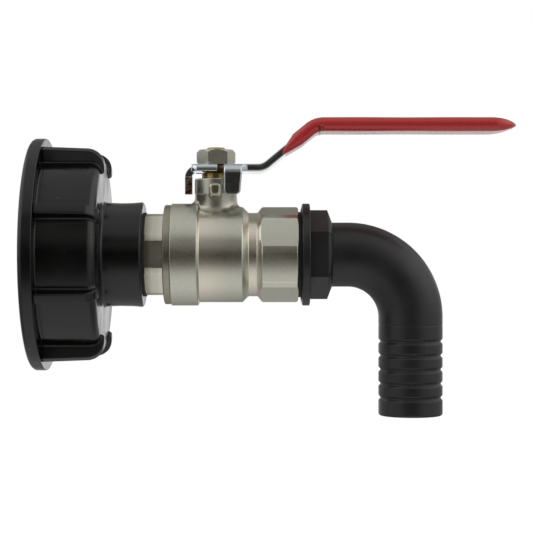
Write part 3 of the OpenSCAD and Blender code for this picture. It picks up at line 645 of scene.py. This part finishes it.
def lever_line(x):
    """Height and slope of the steel's middle line at x: level, an arc of 6 mm, a slope of 39.5
    degrees, an arc of 9 mm, and level again."""
    lower = LOWER_R * np.tan(SLOPE / 2)
    start, rising = LOWER_X - lower, LOWER_X + lower * np.cos(SLOPE)
    falling = UPPER_X - UPPER_R * np.tan(SLOPE / 2) * np.cos(SLOPE)
    low_turn = np.arcsin(np.clip((x - start) / LOWER_R, 0, np.sin(SLOPE)))
    high_turn = np.arcsin(np.clip((STRAIGHT_X - x) / UPPER_R, 0, np.sin(SLOPE)))
    z = np.where(x < rising, FLAT_Z + LOWER_R * (1 - np.cos(low_turn)),
                 np.where(x < falling, FLAT_Z + (x - LOWER_X) * np.tan(SLOPE),
                          HANDLE_Z - UPPER_R * (1 - np.cos(high_turn))))
    turn = np.where(x < rising, low_turn, np.where(x < falling, SLOPE, high_turn))
    return z, turn


def bar_section(near, far, thick, top_edge, low_edge, steps=5):
    """Rounded rectangle for every station, from -near to far across and thick high, its upper
    edges rounded by top_edge and its lower ones by low_edge. Returns across and up, [station, point]."""
    quarter = np.radians(np.linspace(0, 90, steps + 1))[None]
    sin, cos = np.sin(quarter), np.cos(quarter)
    up = thick / 2
    across = np.hstack([far - top_edge * (1 - sin), far - low_edge * (1 - cos),
                        -near + low_edge * (1 - sin), -near + top_edge * (1 - cos)])
    height = np.hstack([up - top_edge * (1 - cos), -up + low_edge * (1 - sin),
                        -up + low_edge * (1 - cos), up - top_edge * (1 - sin)])
    return across, height


def lever_strip():
    """The stamped strip: sections of the steel carried along the lever's middle line. Its width
    steps in at the relief notch beside the near tab, and narrows beyond the tabs to the arm."""
    left, right = STEM_X - 9.9, STEM_X + 11.0
    notch_l, notch_r = STEM_X + 0.8, STEM_X + 3.4
    corner = np.array([0, 0.02, 0.1, 0.3, 0.6, 1.0, 1.6, 2.3, 3.0, 3.3])
    tip = 198.4 - 9.85 + 9.85 * np.sin(np.radians(np.linspace(0, 88, 24)))
    step = 0.04
    x = np.concatenate([
        left + corner, [70, 73, notch_l - 0.2, notch_l - step, notch_l + step, notch_l + 0.2, notch_r - 0.2,
                        notch_r - step, notch_r + step, notch_r + 0.2, 82, right - 0.2, right, right + 0.35, 90, 92.6],
        np.linspace(92.9, 97.2, 14), np.linspace(99, 112, 8), np.linspace(112.8, STRAIGHT_X, 16),
        np.linspace(120, 188, 12), tip])
    z, turn = lever_line(x)
    rounding = 3 - np.sqrt(np.clip(9 - (3 - np.clip(x - left, 0, 3)) ** 2, 0, 9))
    half = np.where(x < right + 0.1, 10.6, 9.85) - rounding
    half = np.where(x > 188.55, np.sqrt(np.clip(9.85 ** 2 - (x - 188.55) ** 2, 0.01, None)), half)
    near = np.where((x > notch_l) & (x < notch_r), 7.2, half)
    plate = x < right + 0.1
    top_edge = np.where(plate, 1.9, 0.45)[:, None]
    low_edge = np.where(plate, 0.5, 0.5)[:, None]
    top_edge, low_edge = np.minimum(top_edge, half[:, None]), np.minimum(low_edge, half[:, None])
    across, height = bar_section(near[:, None], half[:, None], STEEL, top_edge, low_edge)
    points = np.stack([x[:, None] - height * np.sin(turn)[:, None], across,
                       z[:, None] + height * np.cos(turn)[:, None]], -1)
    raw = ((x > notch_l - 0.1) & (x < notch_r + 0.1))[:, None] & (across < -5) & (height < 2)
    mark = np.concatenate([raw[:1], raw, raw[-1:]]).astype(float)
    return skin(points, loop=False), mark.ravel()


def tab_path(bend, drop):
    """Middle line of a tab as [outward, up] with its turn: a short level start, a quarter bend of
    the given middle radius, then straight down to drop. outward is 0 at the tab's middle plane."""
    quarter = np.radians(np.linspace(0, 90, 12))
    out = np.concatenate([[-bend - 2.5, -bend - 0.2], -bend + bend * np.sin(quarter)])
    up = np.concatenate([[FLAT_Z, FLAT_Z], FLAT_Z - bend * (1 - np.cos(quarter))])
    turn = np.concatenate([[0, 0], quarter])
    low = FLAT_Z - bend
    down = low - (low - drop) * np.array([0.05, 0.3, 0.55, 0.75, 0.82, 0.88, 0.93, 0.965, 0.985, 0.996, 1.0])
    return (np.concatenate([out, 0 * down]), np.concatenate([up, down]),
            np.concatenate([turn, 0 * down + np.pi / 2]))


def near_tab():
    """Near tab: the bar section carried down its path, its right edge leaning in a little and its
    lower corners rounded by 1.8 mm."""
    out, up, turn = tab_path(2.1, 24.5)
    lean = 0.75 * np.clip((FLAT_Z - 2 - up) / 9, 0, 1)
    corner = 1.8 - np.sqrt(np.clip(1.8 ** 2 - np.clip(24.5 + 1.8 - up, 0, 1.8) ** 2, 0, None))
    left = (STEM_X + 3.4 + corner)[:, None]
    right = (STEM_X + 11.0 - lean - corner)[:, None]
    edge = np.full_like(left, 0.8)
    across, height = bar_section(-left, right, STEEL, edge, 0.5 * edge)
    y = -(10.5 + out[:, None] + height * np.sin(turn)[:, None])
    points = np.stack([across, y, up[:, None] + height * np.cos(turn)[:, None]], -1)
    made = skin(points, loop=False)
    return made, np.zeros(len(made[0]))


def far_tab():
    """Far tab: the same section carried down the left end, with its sheared side to the viewer."""
    out, up, turn = tab_path(3.0, 25.3)
    near, far = np.full((len(out), 1), -3.3), np.full((len(out), 1), 10.0)
    edge = np.full_like(near, 0.3)
    across, height = bar_section(near, far, STEEL, edge, edge)
    x = STEM_X - 11.6 - out[:, None] - height * np.sin(turn)[:, None]
    points = np.stack([x, across, up[:, None] + height * np.cos(turn)[:, None]], -1)
    raw = (across < 3.7) & (up[:, None] < 32.6)
    mark = np.concatenate([raw[:1], raw, raw[-1:]]).astype(float)
    return skin(points, loop=False), mark.ravel()


lever_parts = [lever_strip(), near_tab(), far_tab()]
piece("lever_arm", [made for made, _ in lever_parts], lever_chrome, "lever_set", "lever",
      {"sheared": [mark for _, mark in lever_parts]})

# ---- Lever nut
# Nickelled steel, hot-formed: a hexagon with both ends turned to a cone, tightened on the stem's
# thread a few degrees out of square with the lever.
nut_finish = nickelled("nickelled_nut")
NUT_LOW, NUT_TOP = 37.1, 43.4
NUT_TURN = np.radians(7.7)


def nut_skin():
    """Hexagon between two cones: the smaller of 7 / cos(a - nearest flat) and a radius that falls
    from the corner by as much as the point is nearer than 1.15 mm to either end."""
    middles = NUT_TURN + np.radians(30 + 60 * np.arange(6))
    corners = middles + np.pi / 6
    close = np.radians(np.array([-2, -1, -0.5, 0, 0.5, 1, 2]))
    around = np.unique(np.concatenate([np.linspace(0, 2 * np.pi, 180, endpoint=False),
                                       ((corners[:, None] + close) % (2 * np.pi)).ravel()]))
    off = np.abs((around[:, None] - middles + np.pi) % (2 * np.pi) - np.pi).min(-1)
    hexagon = 7 / np.cos(off)
    up = np.concatenate([np.linspace(NUT_LOW, NUT_LOW + 1.3, 22), np.linspace(NUT_LOW + 1.6, NUT_TOP - 1.6, 6),
                         np.linspace(NUT_TOP - 1.3, NUT_TOP, 22)])[:, None]
    end = np.minimum(NUT_TOP - up, up - NUT_LOW)
    cone = 7 / np.cos(np.pi / 6) - np.clip(1.15 - end, 0, None) * 0.98
    wall = np.minimum(hexagon[None], cone)
    inside = np.array([[6.8, NUT_TOP], [4.6, NUT_TOP], [4.05, NUT_TOP - 0.5], [4.05, NUT_LOW + 0.5],
                       [4.6, NUT_LOW], [6.8, NUT_LOW]])
    radius = np.concatenate([wall, inside[:, :1] + 0 * around])
    height = np.concatenate([up + 0 * around, inside[:, 1:] + 0 * around])
    return np.stack([STEM_X + radius * np.cos(around), radius * np.sin(around), height], -1)


nut_points = nut_skin()
piece("hexagon_nut", [skin(nut_points)], nut_finish, "lever_set", "lever_nut",
      {"edge": [np.zeros(nut_points.shape[0] * nut_points.shape[1])]})


# ---- Grip
# Red vinyl, made by dipping the hot lever: a soft glossy skin, thicker on the flats than at the
# tip, that ends in a lip on the slope.
def dipped_vinyl():
    """Glossy red vinyl with slow waves in its skin and small pimples."""
    material, tree, surface, place = finish_of("dipped_vinyl")
    wave = grain(tree, place, 0.012, 2, 0.5, (3, 1, 1))
    pimple = grain(tree, place, 0.0013, 3, 0.55)
    tree.links.new(blended(tree, wave, (0.36, 0.012, 0.014, 1), (0.45, 0.018, 0.018, 1)), surface.inputs["Base Color"])
    tree.links.new(graded(tree, pimple, 0.3, 0.7, 0.22, 0.34), surface.inputs["Roughness"])
    surface.inputs["Coat Weight"].default_value = 0.3
    surface.inputs["Coat Roughness"].default_value = 0.12
    relief(tree, surface, (wave, 0.0003), (pimple, 0.00001))
    return material


red_vinyl = dipped_vinyl()
GRIP_TIP = 199.8
NOSE_LONG = 11.25


def grip_skin():
    """Sleeve round the steel: a stadium of half-width w and half-thickness h carried along the
    lever's middle line. Towards the tip w = 11.25 sqrt(1 - u^2) and h = 2.9 (1 - u^2)^0.8, where u
    goes from 0 to 1 over the last 11.25 mm. The first 2 mm swell out of the steel as a lip."""
    nose = np.sin(np.radians(np.linspace(0, 89, 36)))
    x = np.concatenate([[103.0, 103.05, 103.2, 103.5, 104, 104.8], np.linspace(106, 112, 7),
                        np.linspace(112.6, STRAIGHT_X, 22), np.linspace(117, 188, 48),
                        GRIP_TIP - NOSE_LONG + NOSE_LONG * nose])
    z, turn = lever_line(x)
    u = np.clip((x - (GRIP_TIP - NOSE_LONG)) / NOSE_LONG, 0, 0.9999)
    lip = np.clip((x - 103) / 1.2, 0, 1)
    swell = np.sqrt(1 - (1 - lip) ** 2)
    wave = 0.06 * np.sin(x / 9.1) + 0.05 * np.sin(x / 5.3 + 1)
    half_thick = (1.6 + 1.25 * swell + wave * 0.5) * (1 - u ** 2) ** 0.8
    half_wide = (9.95 + 1.28 * swell) * np.sqrt(1 - u ** 2)
    edge = np.minimum(half_thick, half_wide)[:, None]
    around = np.radians(np.linspace(-90, 90, 25))[None]
    flat = (half_wide[:, None] - edge)
    across = np.hstack([flat + edge * np.cos(around), -flat - edge * np.cos(around)])
    height = np.hstack([half_thick[:, None] * np.sin(around), -half_thick[:, None] * np.sin(around)])
    fill = np.linspace(-1, 1, 7)[1:-1][None]
    across = np.hstack([across[:, :25], -flat * fill, across[:, 25:], flat * fill])
    height = np.hstack([height[:, :25], half_thick[:, None] + 0 * fill, height[:, 25:],
                        -half_thick[:, None] + 0 * fill])
    # the dipping line leans: the lip starts further out on top than underneath
    lean = np.clip(1 - (x - 103) / 6, 0, 1)[:, None]
    along = height * (-np.sin(turn)[:, None] + lean * (np.sin(turn)[:, None] + 0.33))
    return skin(np.stack([x[:, None] + along, across, z[:, None] + height * np.cos(turn)[:, None]
                          + 0 * lean], -1), loop=False)


piece("red_grip", [grip_skin()], red_vinyl, "lever_set", "lever_grip")

# ---- Elbow
# Injection-moulded charcoal plastic: a threaded stub in the body's outlet, a flange, a hexagon,
# a bend and a straight tail with five grooves between its barbs for the hose.
elbow_plastic = moulded_black("elbow_plastic", (0.0085, 0.0085, 0.0088, 1), (0.0125, 0.0125, 0.013, 1), 0.34, 0.46, 0.15)
head_outline, _ = rounded([
    [97, 15.6, 0.2], [98, 16.6, 0.3], [110.5, 16.6, 0.2], [110.5, 18.75, 0.3], [111.2, 21.15, 0.5],
    [114.2, 21.15, 0.5], [114.2, 18.7, 0.35], [121.4, 18.7, 0.5], [123.5, 13.2, 0.4], [123.5, 10.25, 0.2], [97, 10.25, 0.3]], 6)
HEXAGON = np.radians(60 * np.arange(6))
hexagon_half = np.arccos(16.0 / 18.3)


def elbow_hexagon(x, radius, a):
    """The turned head cut by six flats between the flange and the cone."""
    off = np.abs((a[:, None] - HEXAGON + np.pi) % (2 * np.pi) - np.pi).min(-1)
    outside = (x > 114.25) & (radius > 13)
    return np.where(outside, np.minimum(radius, 16.0 / np.cos(off)[None]), radius + 0 * off[None])


head_around = around_flats(HEXAGON, np.radians(30) - 1e-3)
head_points = turned_along_x(head_outline, head_around, elbow_hexagon)

TUBE_R, BORE_R, BEND_R = 13.3, 10.25, 26.0
BEND_X = 130.1
TAIL_END = 66.7


def elbow_tube():
    """Tube from the hexagon round the bend to the tail's end, closed through its bore.

    Along the middle line s runs 9 mm level, a quarter circle of 26 mm, then down the tail. Each
    groove takes 0.8 (1 + cos) / 2 off the radius over 2.6 mm, so the barbs between stay rounded."""
    level, quarter = 9.0, BEND_R * np.pi / 2
    end = level + quarter + TAIL_END - BEND_R
    s = np.concatenate([np.linspace(0, level, 8), level + np.linspace(0, quarter, 64)[1:],
                        np.linspace(level + quarter + 0.5, end - 1.1, 190),
                        end - 1.1 + 1.1 * np.sin(np.radians(np.linspace(10, 90, 10)))])
    depth = s - (level + quarter) + BEND_R
    radius = np.full_like(s, TUBE_R)
    grooves = 35.9 + 5.83 * np.arange(5)
    off = np.abs(depth[:, None] - grooves).min(-1)
    radius = radius - np.where(off < 1.3, 0.8 * (1 + np.cos(np.pi * off / 1.3)) / 2, 0)
    radius = radius - 0.10 * np.exp(-((depth - 29.2) / 0.25) ** 2)
    radius = radius - (1.1 - np.sqrt(np.clip(1.21 - np.clip(s - end + 1.1, 0, 1.1) ** 2, 0, None)))
    inner_s = np.concatenate([[end, end - 0.4], np.linspace(end - 2, level + quarter, 8),
                              level + np.linspace(quarter, 0, 40)[1:], [6, 3, 0]])
    inner_r = np.concatenate([[BORE_R + 0.5, BORE_R], np.full(len(inner_s) - 2, BORE_R)])
    s, radius = np.concatenate([s, inner_s]), np.concatenate([radius, inner_r])
    turn = np.clip((s - level) / BEND_R, 0, np.pi / 2)
    past = np.clip(s - level - quarter, 0, None)
    x = BEND_X - level + np.minimum(s, level) + BEND_R * np.sin(turn)
    z = -BEND_R * (1 - np.cos(turn)) - past
    around = np.linspace(0, 2 * np.pi, 144, endpoint=False)[None]
    out, side = radius[:, None] * np.cos(around), radius[:, None] * np.sin(around)
    return skin(np.stack([x[:, None] + out * np.sin(turn)[:, None], side, z[:, None] + out * np.cos(turn)[:, None]], -1))


piece("elbow_moulding", [skin(head_points), elbow_tube()], elbow_plastic, "valve", "elbow")
